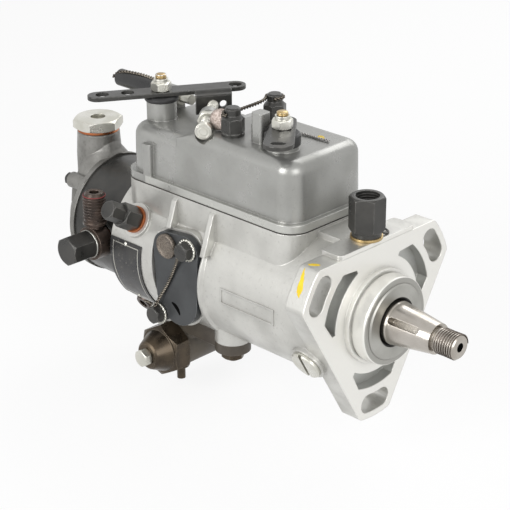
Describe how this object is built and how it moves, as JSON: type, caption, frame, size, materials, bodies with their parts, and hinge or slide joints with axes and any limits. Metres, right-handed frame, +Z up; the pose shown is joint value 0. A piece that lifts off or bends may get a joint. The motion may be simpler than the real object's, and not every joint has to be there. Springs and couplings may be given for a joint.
{
  "type": "diesel fuel injection pump",
  "caption": "Rotary distributor diesel injection pump with flange, tapered drive shaft, governor cover with throttle and stop levers, radial outlets and timing advance unit.",
  "frame": {"origin": "centre of the mounting flange's front face, on the drive shaft's axis", "axes": "+X out along the drive shaft, +Z up to the governor cover, -Y the side with the inspection cover"},
  "size_m": [0.2995, 0.1236, 0.1903],
  "materials": {
    "cast_alloy": "matt as-cast light alloy",
    "cover_alloy": "matt grey die-cast alloy",
    "dark_cast": "stained dark cast alloy",
    "black_steel": "black phosphate",
    "bright_steel": "turned bright steel",
    "zinc_steel": "zinc plated",
    "dark_plate": "dark satin enamel",
    "inner_steel": "oiled steel",
    "bronze": "bearing bronze",
    "brass": "satin brass",
    "copper": "soft copper",
    "lead": "dull lead",
    "rubber": "black rubber",
    "gasket": "dark gasket fibre",
    "wire": "bright wire",
    "sleeve": "black moulded sleeve"
  },
  "bodies": {
    "pump": {"pump_housing": "cast_alloy", "neck_plug": "zinc_steel", "seal_retainer": "bright_steel", "shaft_seal": "rubber", "drive_bush": "bronze", "control_bracket": "inner_steel", "transfer_pump_liner": "inner_steel", "hydraulic_head": "black_steel", "end_plate": "cover_alloy", "end_plate_screws": "black_steel", "inlet_plug": "zinc_steel", "outlet_banjo_bolts": "black_steel", "outlet_banjos": "black_steel", "copper_washers": "copper", "head_lock_screw": "black_steel", "advance_housing": "dark_cast", "advance_spring_cap": "black_steel", "advance_end_bolt": "zinc_steel", "advance_end_plug": "black_steel", "advance_spring": "wire", "advance_stud_nut": "black_steel", "locating_fitting": "black_steel", "governor_cover": "cover_alloy", "gaskets": "gasket", "cover_studs": "zinc_steel", "cover_cap_nuts": "black_steel", "speed_screws": "zinc_steel", "max_speed_sleeve": "sleeve", "control_shaft_seals": "rubber", "inspection_cover": "dark_plate", "inspection_screws": "black_steel", "lead_seals": "lead", "locking_wires": "wire", "data_plate": "dark_plate", "return_adapter": "black_steel", "return_washer": "brass"},
    "shaft": {"drive_shaft": "bright_steel", "weight_retainer": "inner_steel", "drive_plate": "inner_steel", "distributor_rotor": "inner_steel", "plungers_and_shoes": "inner_steel", "transfer_rotor": "inner_steel"},
    "thrust_sleeve": {"thrust_sleeve": "inner_steel"},
    "weight_1": {"flyweight_1": "inner_steel"},
    "weight_2": {"flyweight_2": "inner_steel"},
    "weight_3": {"flyweight_3": "inner_steel"},
    "weight_4": {"flyweight_4": "inner_steel"},
    "governor_arm": {"governor_arm": "inner_steel", "governor_spring": "wire"},
    "link": {"link_rod": "inner_steel"},
    "metering_valve": {"metering_valve": "inner_steel"},
    "cam_ring": {"cam_ring": "inner_steel", "cam_advance_pin": "inner_steel"},
    "advance_piston": {"advance_piston": "inner_steel"},
    "throttle": {"throttle_shaft": "bright_steel", "throttle_arm": "black_steel", "throttle_nut": "zinc_steel"},
    "stop": {"stop_shaft": "bright_steel", "stop_lever": "black_steel", "stop_nut": "zinc_steel"}
  },
  "joints": [
    {"name": "shaft_spin", "type": "hinge", "parent": "pump", "child": "shaft", "pos_m": [0, 0, 0], "axis": [1, 0, 0], "continuous": true},
    {"name": "thrust_slide", "type": "slide", "parent": "shaft", "child": "thrust_sleeve", "axis": [-1, 0, 0], "range_m": [0, 0.00376]},
    {"name": "governor_arm_pivot", "type": "hinge", "parent": "pump", "child": "governor_arm", "pos_m": [-0.07, 0, 0.037], "axis": [0, 1, 0], "range_deg": [0, 6]},
    {"name": "link_slide", "type": "slide", "parent": "pump", "child": "link", "axis": [1, 0, 0], "range_m": [0, 0.002]},
    {"name": "metering_valve_turn", "type": "hinge", "parent": "pump", "child": "metering_valve", "pos_m": [-0.155, 0, 0.03], "axis": [0, 0, -1], "range_deg": [0, 13]},
    {"name": "cam_ring_turn", "type": "hinge", "parent": "pump", "child": "cam_ring", "pos_m": [-0.136, 0, 0], "axis": [-1, 0, 0], "range_deg": [0, 6]},
    {"name": "advance_piston_slide", "type": "slide", "parent": "pump", "child": "advance_piston", "axis": [0, -1, 0], "range_m": [0, 0.006]},
    {"name": "throttle_turn", "type": "hinge", "parent": "pump", "child": "throttle", "pos_m": [-0.156, -0.0112, 0.09], "axis": [0, 0, 1], "range_deg": [0, 25]},
    {"name": "stop_turn", "type": "hinge", "parent": "pump", "child": "stop", "pos_m": [-0.0589, -0.0124, 0.09], "axis": [0, 0, -1], "range_deg": [0, 35]},
    {"name": "weight_1_swing", "type": "hinge", "parent": "shaft", "child": "weight_1", "pos_m": [-0.036, 0.01909, 0.01909], "axis": [0, 0.7071, -0.7071], "range_deg": [0, 20.01]},
    {"name": "weight_2_swing", "type": "hinge", "parent": "shaft", "child": "weight_2", "pos_m": [-0.036, -0.01909, 0.01909], "axis": [0, 0.7071, 0.7071], "range_deg": [0, 20.01]},
    {"name": "weight_3_swing", "type": "hinge", "parent": "shaft", "child": "weight_3", "pos_m": [-0.036, -0.01909, -0.01909], "axis": [0, -0.7071, 0.7071], "range_deg": [0, 20.01]},
    {"name": "weight_4_swing", "type": "hinge", "parent": "shaft", "child": "weight_4", "pos_m": [-0.036, 0.01909, -0.01909], "axis": [0, -0.7071, -0.7071], "range_deg": [0, 20.01]}
  ],
  "couplings": [
    {"joint": "governor_arm_pivot", "follows": "thrust_slide", "rad_per_m": 27.074},
    {"joint": "link_slide", "follows": "thrust_slide", "ratio": 0.51351},
    {"joint": "metering_valve_turn", "follows": "thrust_slide", "rad_per_m": 57.505},
    {"joint": "advance_piston_slide", "follows": "cam_ring_turn", "m_per_rad": 0.056896},
    {"joint": "weight_1_swing", "follows": "thrust_slide", "rad_per_m": 92.782},
    {"joint": "weight_2_swing", "follows": "thrust_slide", "rad_per_m": 92.782},
    {"joint": "weight_3_swing", "follows": "thrust_slide", "rad_per_m": 92.782},
    {"joint": "weight_4_swing", "follows": "thrust_slide", "rad_per_m": 92.782}
  ]
}
